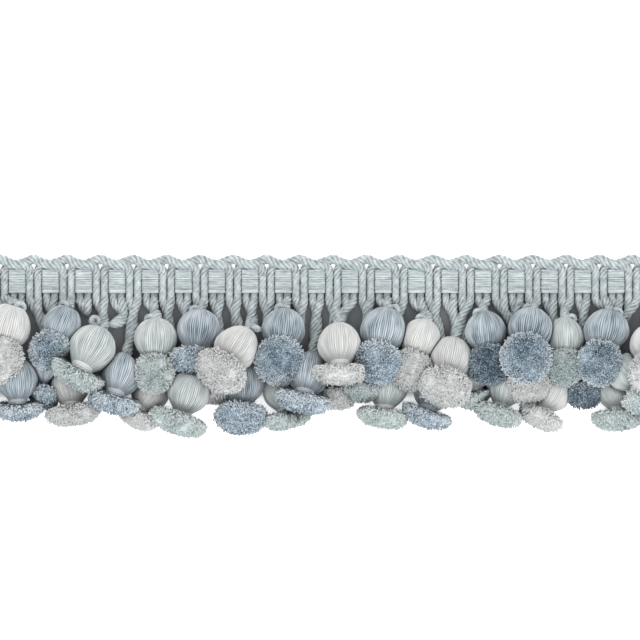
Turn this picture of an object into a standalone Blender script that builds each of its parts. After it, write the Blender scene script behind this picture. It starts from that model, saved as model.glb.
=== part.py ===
"""A cut length of tassel fringe, lying on its back on a flat surface.

The heading is one continuous cord, laid up and down in pairs and bound by a woven band that floats
over every second pair and passes under the rest. Along the top the cord runs in scallops, and below
the band each pair is twisted into a bullion. A soft tassel hangs from each bullion: a wound head, a
bound neck and a cut tuft. The tassels lie in a loose heap, pressed flat where they touch.

+X runs along the fringe, +Y towards the scalloped edge and +Z up from the surface. The origin is the
middle of the band's back face.
"""

import math

import bmesh
import bpy
import numpy as np

MM = 0.001

# Heading
HALF_PITCH = 7.13 * MM  # from one pair of cords to the next
LAST_PAIR = 21  # pairs are numbered from -21 to 21; even ones show, odd ones lie under the band
BAND_TOP = 5.1 * MM
BAND_BOTTOM = -5.1 * MM
BAND_THICKNESS = 1.0 * MM
CLEARANCE = 0.35 * MM
PAIR_HALF_WIDTH = 2.7 * MM  # where the band passes between two pairs
SHOWN_PAIR = {"height": 3.2 * MM, "half_thickness": 1.85 * MM}
COVERED_PAIR = {"height": 1.7 * MM, "half_thickness": 1.7 * MM}
SCALLOP = {"high": 9.4 * MM, "low": 7.6 * MM, "radius": 1.75 * MM, "height": 2.3 * MM}

# Bullions
BULLION_STATIONS = (0.0, 0.3, 0.65, 1.0)
BULLION_HALF_WIDTH = 2.1 * MM
BULLION_HALF_THICKNESS = 1.7 * MM
BULLION_SPREAD = 3.3 * MM  # half width where it leaves the band
BULLION_TAPER = 0.22  # half width lost for each unit of length
BARE_BULLIONS = (
    {"pair": -15, "aside": 0.5, "reach": 13.0},
    {"pair": -13, "aside": -1.0, "reach": 12.5},
    {"pair": -2, "aside": 1.0, "reach": 14.0},
)

# A tassel of unit size, along its axis from the middle of its head
TASSEL_SIDES = 8
NOMINAL_GIRTH = 19.0
HEAD_STATIONS = (  # along the axis, radius
    (-10.3, 1.7),
    (-6.3, 7.4),
    (0.2, 9.6),
    (5.4, 7.5),
)
NECK_END = {"along": 10.1, "radius": 3.9}
NECK_BEND_RADIUS = 3.4
TUFT_STATIONS = ((1.4, 1.0), (5.2, 0.9), (8.8, 0.5))  # along the tuft's own axis, share of its radius
TUFT_MIDDLE = 4.3
NECK_RING = len(HEAD_STATIONS) * TASSEL_SIDES  # the first point of the ring that head and tuft share

# How the tassels settle
UPPER_ROW_DROP = 26.0  # tassels hung higher than this lie on the bullions, the rest on the surface
FLOOR_SQUASH = 0.2  # share of a part's depth by which it is flattened by what it stands on
SOFTNESS = 0.28  # share of their depths by which two parts may press into one another
RISES = (0, 6, 12, 18, 24)  # degrees by which a tassel may tip its tuft up
SETTLE_STEP = 0.4 * MM
WIDEST = 27.0 * MM  # parts with their middles further apart than this do not touch
PRESS_ROUNDS = 6

# The tassels, in the order in which they come to lie, the lowest first. The pair is the one it hangs
# from; aside and drop, in mm, place the middle of its head from that pair's middle and the band's
# lower edge. Lean is its direction in plan, in degrees from straight down towards +X, and face is
# how far its tuft looks up from the surface. Girth and tuft are diameters in mm.
TASSELS = [
    dict(pair=-18, aside=5.5, drop=31.0, lean=-9, face=20, girth=16.5, tuft=17.5, yarn="blue"),
    dict(pair=-17, aside=8.5, drop=40.0, lean=7, face=10, girth=17.0, tuft=22.5, yarn="ivory"),
    dict(pair=-10, aside=-7.0, drop=42.0, lean=-32, face=5, girth=16.5, tuft=19.0, yarn="ivory"),
    dict(pair=-7, aside=-0.5, drop=30.0, lean=-4, face=20, girth=15.5, tuft=17.5, yarn="ivory"),
    dict(pair=-4, aside=6.5, drop=42.5, lean=13, face=5, girth=16.0, tuft=20.0, yarn="sage"),
    dict(pair=0, aside=1.5, drop=33.0, lean=0, face=20, girth=15.0, tuft=16.5, yarn="ivory"),
    dict(pair=7, aside=9.5, drop=33.5, lean=9, face=5, girth=15.5, tuft=15.5, yarn="sage"),
    dict(pair=-21, aside=-1.0, drop=38.5, lean=-5, face=0, girth=17.0, tuft=20.0, yarn="sage"),
    dict(pair=-19, aside=0.5, drop=37.0, lean=2, face=-5, girth=17.5, tuft=20.0, yarn="blue"),
    dict(pair=4, aside=-5.5, drop=40.5, lean=-8, face=5, girth=17.5, tuft=22.0, yarn="sage"),
    dict(pair=-9, aside=2.5, drop=42.0, lean=-20, face=10, girth=18.0, tuft=24.0, yarn="sage"),
    dict(pair=-6, aside=4.0, drop=38.5, lean=-2, face=30, girth=18.5, tuft=22.0, yarn="blue"),
    dict(pair=11, aside=-4.5, drop=40.0, lean=-17, face=10, girth=16.5, tuft=20.5, yarn="sage"),
    dict(pair=13, aside=1.5, drop=42.0, lean=-29, face=10, girth=16.5, tuft=19.5, yarn="ivory"),
    dict(pair=15, aside=0.5, drop=31.0, lean=-2, face=30, girth=15.5, tuft=15.5, yarn="blue"),
    dict(pair=17, aside=0.0, drop=41.0, lean=4, face=10, girth=17.5, tuft=22.0, yarn="sage"),
    dict(pair=20, aside=0.0, drop=38.5, lean=-4, face=5, girth=17.5, tuft=20.5, yarn="blue"),
    dict(pair=2, aside=-1.0, drop=31.0, lean=-9, face=20, girth=15.5, tuft=16.5, yarn="sage"),
    dict(pair=6, aside=0.0, drop=42.0, lean=-19, face=5, girth=16.5, tuft=22.0, yarn="blue"),
    dict(pair=10, aside=11.5, drop=29.5, lean=4, face=45, girth=15.5, tuft=18.0, yarn="ivory"),
    dict(pair=-1, aside=-3.5, drop=34.5, lean=-12, face=5, girth=18.5, tuft=22.5, yarn="blue"),
    dict(pair=-12, aside=-5.5, drop=35.0, lean=-16, face=0, girth=18.5, tuft=23.0, yarn="blue"),
    dict(pair=9, aside=1.0, drop=17.0, lean=5, face=70, girth=17.5, tuft=17.5, yarn="blue"),
    dict(pair=14, aside=-1.0, drop=19.0, lean=-2, face=70, girth=16.5, tuft=16.5, yarn="sage"),
    dict(pair=5, aside=1.5, drop=20.0, lean=-19, face=60, girth=17.5, tuft=19.0, yarn="ivory"),
    dict(pair=18, aside=-3.5, drop=33.5, lean=37, face=30, girth=16.5, tuft=19.0, yarn="sage"),
    dict(pair=-8, aside=-0.5, drop=16.5, lean=-7, face=30, girth=18.5, tuft=21.0, yarn="blue"),
    dict(pair=19, aside=0.0, drop=22.5, lean=5, face=70, girth=18.0, tuft=21.0, yarn="ivory"),
    dict(pair=-16, aside=-2.0, drop=13.5, lean=-23, face=80, girth=16.5, tuft=17.0, yarn="blue"),
    dict(pair=-20, aside=3.5, drop=14.5, lean=-16, face=80, girth=19.5, tuft=21.5, yarn="ivory"),
    dict(pair=-11, aside=2.5, drop=20.5, lean=-2, face=85, girth=18.5, tuft=16.5, yarn="sage"),
    dict(pair=1, aside=-4.5, drop=22.0, lean=2, face=5, girth=18.5, tuft=24.5, yarn="ivory"),
    dict(pair=16, aside=2.5, drop=17.0, lean=-13, face=75, girth=19.5, tuft=19.0, yarn="blue"),
    dict(pair=3, aside=0.0, drop=16.0, lean=-12, face=60, girth=19.5, tuft=20.5, yarn="blue"),
    dict(pair=8, aside=-7.0, drop=28.0, lean=-13, face=45, girth=18.5, tuft=21.5, yarn="ivory"),
    dict(pair=12, aside=-1.5, drop=16.0, lean=-11, face=80, girth=19.0, tuft=21.0, yarn="blue"),
    dict(pair=-14, aside=-3.5, drop=24.0, lean=-27, face=0, girth=20.0, tuft=24.5, yarn="sage"),
    dict(pair=-5, aside=-5.5, drop=23.0, lean=-35, face=40, girth=18.5, tuft=22.0, yarn="ivory"),
    dict(pair=-3, aside=0.0, drop=16.0, lean=-7, face=80, girth=18.5, tuft=20.5, yarn="blue"),
    dict(pair=21, aside=1.0, drop=17.5, lean=-7, face=75, girth=18.0, tuft=18.0, yarn="blue"),
]

COLOURS = {
    "cord": (0.56, 0.61, 0.61),
    "band": (0.58, 0.63, 0.63),
    "blue": (0.34, 0.42, 0.52),
    "sage": (0.55, 0.61, 0.60),
    "ivory": (0.72, 0.72, 0.69),
}
ROUGHNESS = 0.9


def clear_scene():
    for obj in list(bpy.data.objects):
        bpy.data.objects.remove(obj)


def material_of(name):
    found = bpy.data.materials.get(name)
    if found is None:
        found = bpy.data.materials.new(name)
        found.use_nodes = True
        shader = found.node_tree.nodes["Principled BSDF"]
        shader.inputs["Base Color"].default_value = (*COLOURS[name], 1.0)
        shader.inputs["Roughness"].default_value = ROUGHNESS
        shader.inputs["Metallic"].default_value = 0.0
    return found


def add_object(name, points, faces, material):
    mesh = bpy.data.meshes.new(name)
    mesh.from_pydata([tuple(p) for p in points], [], [tuple(f) for f in faces])
    bm = bmesh.new()
    bm.from_mesh(mesh)
    bmesh.ops.recalc_face_normals(bm, faces=bm.faces)
    bm.to_mesh(mesh)
    bm.free()
    obj = bpy.data.objects.new(name, mesh)
    obj.data.materials.append(material_of(material))
    bpy.context.scene.collection.objects.link(obj)
    return obj


def skin(rings):
    """Points and faces of the closed shape through rings of equally many points."""
    count = len(rings[0])
    points = np.concatenate(rings)
    faces = []
    for ring in range(len(rings) - 1):
        for i in range(count):
            j = (i + 1) % count
            low, high = ring * count, (ring + 1) * count
            faces.append((low + i, low + j, high + j))
            faces.append((low + i, high + j, high + i))
    faces += [(0, i + 1, i) for i in range(1, count - 1)]
    last = (len(rings) - 1) * count
    faces += [(last, last + i, last + i + 1) for i in range(1, count - 1)]
    return points, faces


def pair_x(pair):
    return pair * HALF_PITCH


def is_shown(pair):
    return pair % 2 == 0


def flat_ring(centre, along, half_width, half_thickness):
    """Six points of a flattened cord across the direction it runs in, the bottom face level."""
    side = np.cross(along, (0.0, 0.0, 1.0))
    side /= np.linalg.norm(side)
    up = np.cross(side, along)
    up /= np.linalg.norm(up)
    shape = ((-1, 0), (-0.5, -1), (0.5, -1), (1, 0), (0.5, 1), (-0.5, 1))
    return np.array([centre + side * half_width * s + up * half_thickness * u for s, u in shape])


def bullion_rings(pair, tip, tip_direction):
    """A pair of cords from the band's upper edge, through it, and twisted down to the tip."""
    lie = SHOWN_PAIR if is_shown(pair) else COVERED_PAIR
    down = np.array([0.0, -1.0, 0.0])
    x, height = pair_x(pair), lie["height"]
    rings = []
    for y in (BAND_TOP, BAND_BOTTOM):
        place = np.array([x, y, height])
        rings.append(flat_ring(place, down, PAIR_HALF_WIDTH, lie["half_thickness"]))
    start = np.array([x, BAND_BOTTOM - 1.2 * MM, height])
    length = np.linalg.norm(tip - start)
    control = [start, start + down * length / 3, tip - tip_direction * length / 3, tip]
    for t in BULLION_STATIONS:
        weights = ((1 - t) ** 3, 3 * t * (1 - t) ** 2, 3 * t * t * (1 - t), t**3)
        centre = sum(w * p for w, p in zip(weights, control))
        ahead = (1 - t) ** 2 * (control[1] - control[0]) + 2 * t * (1 - t) * (control[2] - control[1])
        ahead += t * t * (control[3] - control[2])
        ahead[2] = 0.0
        ahead /= np.linalg.norm(ahead)
        half_width = max(BULLION_HALF_WIDTH, BULLION_SPREAD - BULLION_TAPER * length * t)
        if 0 < t < 1:
            centre[2] = BULLION_HALF_THICKNESS
        rings.append(flat_ring(centre, ahead, half_width, BULLION_HALF_THICKNESS))
    for ring in rings:
        ring[:, 2] = np.maximum(ring[:, 2], 0.0)
    return rings


def round_ring(centre, across, up, radius):
    turns = (np.arange(TASSEL_SIDES) + 0.5) * 2 * math.pi / TASSEL_SIDES
    return np.array([centre + radius * (math.cos(t) * across + math.sin(t) * up) for t in turns])


def tassel_shape(row, rise):
    """The points of a tassel with the middle of its head at height 0, ring by ring from the crown to
    the end of the tuft. Also its direction and the middles of its head and tuft."""
    lean, rise = math.radians(row["lean"]), math.radians(rise)
    flat = np.array([math.sin(lean), -math.cos(lean), 0.0])
    along = flat * math.cos(rise) + np.array([0.0, 0.0, math.sin(rise)])
    across = np.cross(flat, (0.0, 0.0, 1.0))
    up = np.cross(across, along)
    middle = np.array([pair_x(row["pair"]) + row["aside"] * MM, BAND_BOTTOM - row["drop"] * MM, 0.0])
    size = row["girth"] / NOMINAL_GIRTH * MM
    rings = [round_ring(middle + along * t * size, across, up, r * size) for t, r in HEAD_STATIONS]
    neck = middle + along * NECK_END["along"] * size
    cock, bend = math.radians(row["face"]) - rise, NECK_BEND_RADIUS * size

    def turned(angle):
        """The place and the two directions where the neck has bent up by an angle."""
        place = neck + bend * (math.sin(angle) * along + (1 - math.cos(angle)) * up)
        ahead = math.cos(angle) * along + math.sin(angle) * up
        return place, ahead, np.cross(across, ahead)

    place, _, ring_up = turned(cock / 2)
    rings.append(round_ring(place, across, ring_up, NECK_END["radius"] * size))
    place, ahead, tuft_up = turned(cock)
    least = (HEAD_STATIONS[2][1] + 0.8) * size  # the tuft folds back no further than the head
    for station, share in TUFT_STATIONS:
        ring = round_ring(place + ahead * station * size, across, tuft_up, share * row["tuft"] / 2 * MM)
        off = ring - middle
        distance = np.linalg.norm(off, axis=1)
        rings.append(middle + off * np.maximum(1.0, least / distance)[:, None])
    return np.concatenate(rings), along, (middle, place + ahead * TUFT_MIDDLE * size)


def depth(part, direction):
    """How far a part reaches from its middle in a direction."""
    return float(((part["points"] - part["middle"]) @ direction).max())


def overlap(part, other):
    """How deep two parts are in one another, the direction between them and how far each reaches."""
    between = other["middle"] - part["middle"]
    distance = np.linalg.norm(between)
    direction = between / distance
    own, others = depth(part, direction), depth(other, -direction)
    return own + others - distance, direction, own, others


def parts_of(points, middles, pair):
    """The head and the tuft of a tassel, as views of its points. They share the ring at the neck."""
    ends = (slice(0, NECK_RING + TASSEL_SIDES), slice(NECK_RING, None))
    return [{"points": points[end], "middle": middle, "pair": pair} for end, middle in zip(ends, middles)]


def fits(part, laid):
    for other in laid:
        if np.linalg.norm(other["middle"][:2] - part["middle"][:2]) < WIDEST:
            deep, _, own, others = overlap(part, other)
            if deep > SOFTNESS * (own + others):
                return False
    return True


def settled(row, laid):
    """A tassel where it comes to rest on those laid so far: its points, parts and direction."""
    best = None
    for rise in RISES:
        points, along, middles = tassel_shape(row, rise)
        lift = -points[:, 2].min() * (1 - FLOOR_SQUASH)
        if row["drop"] < UPPER_ROW_DROP:
            lift += 2 * BULLION_HALF_THICKNESS
        while True:
            raised = np.array([0.0, 0.0, lift])
            placed = points + raised
            parts = parts_of(placed, [middle + raised for middle in middles], row["pair"])
            if all(fits(part, laid) for part in parts):
                break
            lift += SETTLE_STEP
        height = sum(part["middle"][2] for part in parts)
        if best is None or height < best[0]:
            best = (height, placed, parts, along)
    return best[1:]


def meeting_planes(parts, stretches):
    """For each part, the planes it must stay behind: the surface's, and those where it meets parts of
    other tassels and bullions."""
    planes = [[(np.array([0.0, 0.0, -1.0]), 0.0)] for _ in parts]
    for i, part in enumerate(parts):
        for j in range(i):
            other = parts[j]
            if other["pair"] == part["pair"]:
                continue
            deep, direction, own, _ = overlap(part, other)
            if deep > -CLEARANCE:
                meeting = float(part["middle"] @ direction) + own - deep / 2
                planes[i].append((direction, meeting - CLEARANCE / 2))
                planes[j].append((-direction, -meeting - CLEARANCE / 2))
        for first, second in stretches:
            start, end = first.mean(0), second.mean(0)
            run = end - start
            share = np.clip((part["middle"] - start) @ run / (run @ run), 0.0, 1.0)
            off = start + share * run - part["middle"]
            direction = off / np.linalg.norm(off)
            meeting = float((np.concatenate([first, second]) @ direction).min()) - CLEARANCE
            if (part["points"] @ direction).max() > meeting:
                planes[i].append((direction, meeting))
    return planes


def press(parts, planes):
    """Flatten the parts up to their planes."""
    for _ in range(PRESS_ROUNDS):
        for part, limits in zip(parts, planes):
            for direction, reach in limits:
                beyond = np.maximum(part["points"] @ direction - reach, 0.0)
                part["points"] -= beyond[:, None] * direction


def build_band():
    """The woven band: over each covered pair and under each pair that shows."""
    low, high = 0.0, COVERED_PAIR["height"] + COVERED_PAIR["half_thickness"] + CLEARANCE
    reach = PAIR_HALF_WIDTH + CLEARANCE
    under, over = [], []
    for pair in range(-LAST_PAIR, LAST_PAIR + 1):
        x = pair_x(pair)
        level, widen = (low, 0.0) if is_shown(pair) else (high, BAND_THICKNESS)
        for side in (-1, 1):
            under.append((x + side * (reach + BAND_THICKNESS - widen), level))
            over.append((x + side * (reach + widen), level + BAND_THICKNESS))
    outline = under + over[::-1]
    count = len(outline)
    points = [(x, y, z) for y in (BAND_BOTTOM, BAND_TOP) for x, z in outline]
    faces = [(i, (i + 1) % count, count + (i + 1) % count, count + i) for i in range(count)]
    half = count // 2
    for i in range(half - 1):
        cap = (i, i + 1, count - 2 - i, count - 1 - i)
        faces += [cap[::-1], tuple(count + p for p in cap)]
    add_object("woven_band", points, faces, "band")


def scallop_rings():
    """The cord along the top edge, high over each pair that shows and low over the others. Each pair
    has a ring at either side of it."""
    rings = []
    for pair in range(-LAST_PAIR, LAST_PAIR + 1):
        y = SCALLOP["high"] if is_shown(pair) else SCALLOP["low"]
        for side in (-1, 1):
            centre = np.array([pair_x(pair) + side * PAIR_HALF_WIDTH, y, SCALLOP["height"]])
            rings.append(flat_ring(centre, np.array([1.0, 0.0, 0.0]), SCALLOP["radius"], SCALLOP["radius"]))
    return rings


def build_comb(bullions):
    """The scalloped cord and every bullion as one closed shape. Where a bullion leaves the cord its
    tube takes the place of the two faces between the rings at either side of the pair."""
    spine = scallop_rings()
    points = np.concatenate(spine)
    faces = [(5, 4, 3, 2, 1, 0)]
    for ring in range(len(spine) - 1):
        low, high = 6 * ring, 6 * (ring + 1)
        skipped = (2, 3) if ring % 2 == 0 else ()
        for i in range(6):
            if i not in skipped:
                j = (i + 1) % 6
                faces.append((low + i, low + j, high + j, high + i))
    end = 6 * (len(spine) - 1)
    faces.append(tuple(end + i for i in range(6)))
    for pair in range(-LAST_PAIR, LAST_PAIR + 1):
        left = 12 * (pair + LAST_PAIR)
        right = left + 6
        before = (right + 3, right + 2, left + 2, left + 3, left + 4, right + 4)
        for ring in bullions[pair]:
            after = tuple(len(points) + i for i in range(6))
            points = np.concatenate([points, ring])
            faces += [(before[i], before[i - 5], after[i - 5], after[i]) for i in range(6)]
            before = after
        faces.append(before)
    add_object("cord_fringe", points, faces, "cord")


def build_fringe():
    bullions, tassels, laid = {}, [], []
    for row in BARE_BULLIONS:
        x = pair_x(row["pair"]) + row["aside"] * MM
        tip = np.array([x, BAND_BOTTOM - row["reach"] * MM, BULLION_HALF_THICKNESS])
        bullions[row["pair"]] = bullion_rings(row["pair"], tip, np.array([0.0, -1.0, 0.0]))
    for row in TASSELS:
        points, parts, along = settled(row, laid)
        tassels.append(points)
        laid += parts
        crown = points[:TASSEL_SIDES].mean(0)
        bullions[row["pair"]] = bullion_rings(row["pair"], crown - along * 0.5 * MM, along)
    stretches = [(rings[k], rings[k + 1]) for rings in bullions.values() for k in range(2, 5)]
    press(laid, meeting_planes(laid, stretches))
    for number, (row, points) in enumerate(zip(TASSELS, tassels), 1):
        rings = points.reshape(-1, TASSEL_SIDES, 3)
        add_object(f"tassel_{number:02d}", *skin(rings), row["yarn"])
    build_comb(bullions)
    build_band()


clear_scene()
build_fringe()
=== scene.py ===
import math

import bpy
import numpy as np
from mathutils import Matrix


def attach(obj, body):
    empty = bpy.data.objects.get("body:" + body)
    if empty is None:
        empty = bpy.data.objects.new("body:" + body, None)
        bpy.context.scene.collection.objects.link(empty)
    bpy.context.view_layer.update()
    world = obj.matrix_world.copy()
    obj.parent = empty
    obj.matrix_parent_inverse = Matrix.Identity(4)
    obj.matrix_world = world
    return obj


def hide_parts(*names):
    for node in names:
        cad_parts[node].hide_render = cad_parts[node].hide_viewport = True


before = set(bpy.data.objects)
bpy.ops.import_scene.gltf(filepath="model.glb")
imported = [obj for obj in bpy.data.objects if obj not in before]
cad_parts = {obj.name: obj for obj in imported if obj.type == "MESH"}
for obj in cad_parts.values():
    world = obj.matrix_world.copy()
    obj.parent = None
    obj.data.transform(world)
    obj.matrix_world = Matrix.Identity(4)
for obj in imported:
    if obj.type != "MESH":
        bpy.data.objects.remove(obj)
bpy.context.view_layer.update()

# A cut length of tassel fringe on its back: +X runs along it, +Y towards the scalloped edge and +Z up
# from the surface it lies on. Sizes are in millimetres until the meshes are made.
mm = 0.001
seeds = {"band": 5, "tassels": 100, "loops": 300}


def paint(red, green, blue):
    # a colour as a painter's mixer shows it, 0 to 255, as the linear one that shaders take
    mixed = [c / 255 for c in (red, green, blue)]
    return (*[c / 12.92 if c <= 0.04045 else ((c + 0.055) / 1.055) ** 2.4 for c in mixed], 1.0)


class Sum:
    # wraps a socket, so that an expression on it adds its Math nodes
    def __init__(self, tree, socket):
        self.tree, self.socket = tree, socket

    def math(self, operation, first, second=0.0):
        node = self.tree.nodes.new("ShaderNodeMath")
        node.operation = operation
        for place, value in zip(node.inputs, (first, second)):
            if isinstance(value, Sum):
                self.tree.links.new(value.socket, place)
            else:
                place.default_value = value
        return Sum(self.tree, node.outputs[0])

    def __add__(self, other):
        return self.math("ADD", self, other)

    def __sub__(self, other):
        return self.math("SUBTRACT", self, other)

    def __rsub__(self, other):
        return self.math("SUBTRACT", other, self)

    def __mul__(self, other):
        return self.math("MULTIPLY", self, other)

    __radd__, __rmul__ = __add__, __mul__

    def wave(self):
        return self.math("SINE", self)

    def absolute(self):
        return self.math("ABSOLUTE", self)

    def held(self):
        # kept between 0 and 1
        node = self.math("ADD", self, 0.0)
        node.socket.node.use_clamp = True
        return node


class Finish:
    # a material and the ways to add to it
    def __init__(self, name, **sockets):
        self.material = bpy.data.materials.new(name)
        self.material.use_nodes = True
        self.tree = self.material.node_tree
        self.shader = self.tree.nodes["Principled BSDF"]
        for socket, value in sockets.items():
            self.shader.inputs[socket.replace("_", " ")].default_value = value

    def node(self, kind, settings=None, values=None, output=0):
        made = self.tree.nodes.new(kind)
        for name, value in (settings or {}).items():
            if name == "stops":
                ramp = made.color_ramp
                while len(ramp.elements) < len(value):
                    ramp.elements.new(0.5)
                for element, (place, colour) in zip(ramp.elements, value):
                    element.position, element.color = place, colour
            else:
                setattr(made, name, value)
        for name, value in (values or {}).items():
            if isinstance(value, Sum):
                self.tree.links.new(value.socket, made.inputs[name])
            else:
                made.inputs[name].default_value = value
        return Sum(self.tree, made.outputs[output])

    def feed(self, name, value):
        self.tree.links.new(value.socket, self.shader.inputs[name])

    def mix(self, share, low, high):
        values = {0: share, 6: low, 7: high}
        return self.node("ShaderNodeMix", {"data_type": "RGBA"}, values, output=2)

    def ramp(self, share, places, colours):
        stops = [(place, paint(*colour)) for place, colour in zip(places, colours)]
        return self.node("ShaderNodeValToRGB", {"stops": stops}, {0: share.held()})

    def colour(self, *ramp):
        self.feed("Base Color", self.ramp(*ramp))

    def place(self):
        return self.node("ShaderNodeTexCoord", output=3)

    def part(self, vector, axis):
        return self.node("ShaderNodeSeparateXYZ", None, {0: vector}, output=axis)

    def noise(self, vector, scale, detail=2.0, roughness=0.5):
        values = {"Vector": vector, "Scale": scale, "Detail": detail, "Roughness": roughness}
        return self.node("ShaderNodeTexNoise", None, values)

    def stretched(self, vector, scale):
        return self.node("ShaderNodeMapping", None, {"Vector": vector, "Scale": scale})

    def tint(self):
        return self.node("ShaderNodeAttribute", {"attribute_name": "tint"}, output=2)

    def lay(self):
        return self.node("ShaderNodeUVMap", {"uv_map": "lay"})

    def bump(self, height, strength, distance):
        values = {"Height": height, "Strength": strength, "Distance": distance * mm}
        self.feed("Normal", self.node("ShaderNodeBump", None, values))


# Cords and band: pale sage. Tint is 0 in the creases and 1 on the strands, so a cord's creases are painted
# shade, and the last values of each look say how much each pattern tells in the colour.
cordLook = {
    "colours": ((112, 122, 126), (186, 194, 196), (222, 227, 227)),
    "places": (0.0, 0.55, 1.0),
    "fibres": 5.0,  # fine yarns in each strand
    "lean": 0.55,  # how many of them cross a line along the cord, per millimetre
    "streaks": (0.35, 55.0, 1.0),  # per millimetre along and per turn round
    "mottle": 520.0,  # per metre
    "shaded": 0.8, "fibrous": 0.1, "streaky": 0.7, "mottled": 1.1,
}
bandLook = {
    "colours": ((128, 138, 142), (182, 190, 191), (214, 220, 219)),
    "places": (0.0, 0.5, 1.0),
    "cool": paint(186, 190, 200), "coolShare": 0.6,  # some stretches of thread are bluer
    "coolPatches": (60.0, 900.0, 60.0), "streaks": (180.0, 1700.0, 400.0), "mottle": 500.0,  # per metre
    "pick": 1.1,  # width of a crossing
    "ribs": 25.0,
    "crossed": 0.05, "streaky": 1.5, "mottled": 0.4,
}


def cordFinish():
    finish = Finish("pale_sage_cord", Roughness=0.78, Sheen_Weight=0.25, Sheen_Roughness=0.5)
    look, lay, turn = cordLook, finish.lay(), 2 * math.pi
    fibres = cordMake["strands"] * look["fibres"]
    fibre = finish.part(lay, 1) * (turn * fibres) - finish.part(lay, 0) * (turn * look["lean"])
    fibre = fibre.wave() * 0.5 + 0.5
    patches = finish.noise(finish.place(), look["mottle"], 3.0)
    streaks = finish.noise(finish.stretched(lay, look["streaks"]), 1.0)
    share = finish.tint() * look["shaded"] + fibre * look["fibrous"] + 0.05
    share = share + (streaks - 0.5) * look["streaky"] + (patches - 0.5) * look["mottled"]
    finish.colour(share, look["places"], look["colours"])
    finish.bump(fibre + streaks * 0.6, 0.5, 0.12)
    return finish.material


def bandFinish():
    finish = Finish("pale_sage_band", Roughness=0.8, Sheen_Weight=0.2, Sheen_Roughness=0.5)
    look, lay, place = bandLook, finish.lay(), finish.place()
    pick = (finish.part(lay, 0) * (2 * math.pi / look["pick"])).wave() * 0.5 + 0.5
    ribs = (finish.part(lay, 1) * look["ribs"]).wave()
    streaks = finish.noise(finish.stretched(place, look["streaks"]), 1.0)
    patches = finish.noise(place, look["mottle"])
    share = finish.tint() + pick * look["crossed"]
    share = share + (streaks - 0.5) * look["streaky"] + (patches - 0.5) * look["mottled"]
    colour = finish.ramp(share, look["places"], look["colours"])
    cool = ((finish.noise(finish.stretched(place, look["coolPatches"]), 1.0) - 0.5) * 3.0).held()
    finish.feed("Base Color", finish.mix(cool * look["coolShare"], colour, look["cool"]))
    finish.bump(pick * 0.4 + streaks + ribs * 0.1, 0.5, 0.1)
    return finish.material


# Yarns: each tassel is wound in one of these. Wound is the head's colours from the painted shade in its
# valleys and its darkest yarns to its lightest, and cut is the tuft's from its painted-shaded depths to
# its tips. Spread is how much the strands of a yarn differ, and also how strongly the painted shade on
# them tells, and patches is how much its dye does from place to place.
yarnLooks = {
    "blue": {
        "wound": ((101, 114, 123), (160, 170, 176), (182, 189, 194), (205, 210, 214)),
        "cut": ((66, 84, 98), (138, 155, 167), (188, 198, 205), (222, 227, 230)),
        "spread": 1.0, "patches": 0.45,
    },
    "sage": {
        "wound": ((132, 141, 142), (178, 185, 185), (202, 206, 205), (226, 228, 226)),
        "cut": ((106, 122, 126), (171, 183, 184), (203, 210, 209), (228, 231, 230)),
        "spread": 0.75, "patches": 0.25,
    },
    "ivory": {
        "wound": ((152, 153, 152), (195, 196, 195), (213, 214, 213), (231, 231, 230)),
        "cut": ((144, 147, 147), (196, 198, 198), (215, 216, 216), (231, 232, 231)),
        "spread": 0.6, "patches": 0.1,
    },
}
# Where the yarns' colours stand between dark and light, and how fine and strong their patterns are.
# Hairs are per millimetre along and per turn round, and the rest is per metre.
woundYarn = {
    "places": (0.0, 0.38, 0.7, 1.0),
    "hairs": (0.12, 105.0, 1.0), "hairy": 1.7, "patches": 120.0, "patchy": 2.0,
}
boundYarn = {"places": (0.0, 0.25, 0.6, 1.0), "hairs": (0.3, 160.0, 1.0), "hairy": 0.5}
cutYarn = {
    "places": (0.0, 0.38, 0.7, 1.0),
    "specks": 2000.0, "speckled": 1.3, "patches": 130.0, "patchy": 0.5,
}


def woundFinish(yarn):
    finish = Finish(yarn + "_wound_yarn", Roughness=0.8, Sheen_Weight=0.35, Sheen_Roughness=0.5)
    finish.shader.inputs["Specular IOR Level"].default_value = 0.2
    look, make = yarnLooks[yarn], woundYarn
    hairs = finish.noise(finish.stretched(finish.lay(), make["hairs"]), 1.0, 1.0, 0.6)
    patches = finish.noise(finish.place(), make["patches"], 1.0)
    share = finish.tint() + (hairs - 0.5) * (make["hairy"] * look["spread"])
    share = share + (patches - 0.5) * (make["patchy"] * look["patches"])
    finish.colour(share, make["places"], look["wound"])
    finish.bump(hairs, 0.5, 0.25)
    return finish.material


def boundFinish(yarn):
    finish = Finish(yarn + "_neck_binding", Roughness=0.5, Sheen_Weight=0.3, Sheen_Roughness=0.4)
    make = boundYarn
    hairs = finish.noise(finish.stretched(finish.lay(), make["hairs"]), 1.0, 3.0)
    share = finish.tint() + (hairs - 0.5) * make["hairy"]
    finish.colour(share, make["places"], yarnLooks[yarn]["wound"])
    finish.bump(hairs, 0.35, 0.15)
    return finish.material


def cutFinish(yarn):
    finish = Finish(yarn + "_cut_yarn", Roughness=0.9, Sheen_Weight=0.35, Sheen_Roughness=0.6)
    look, make, place = yarnLooks[yarn], cutYarn, finish.place()
    specks = finish.noise(place, make["specks"], 1.0)
    patches = finish.noise(place, make["patches"], 1.0)
    uneven = (specks - 0.5) * make["speckled"] + (patches - 0.5) * make["patchy"]
    share = finish.tint() + uneven * look["spread"]
    finish.colour(share, make["places"], look["cut"])
    finish.bump(specks, 0.6, 0.3)
    return finish.material


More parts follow.
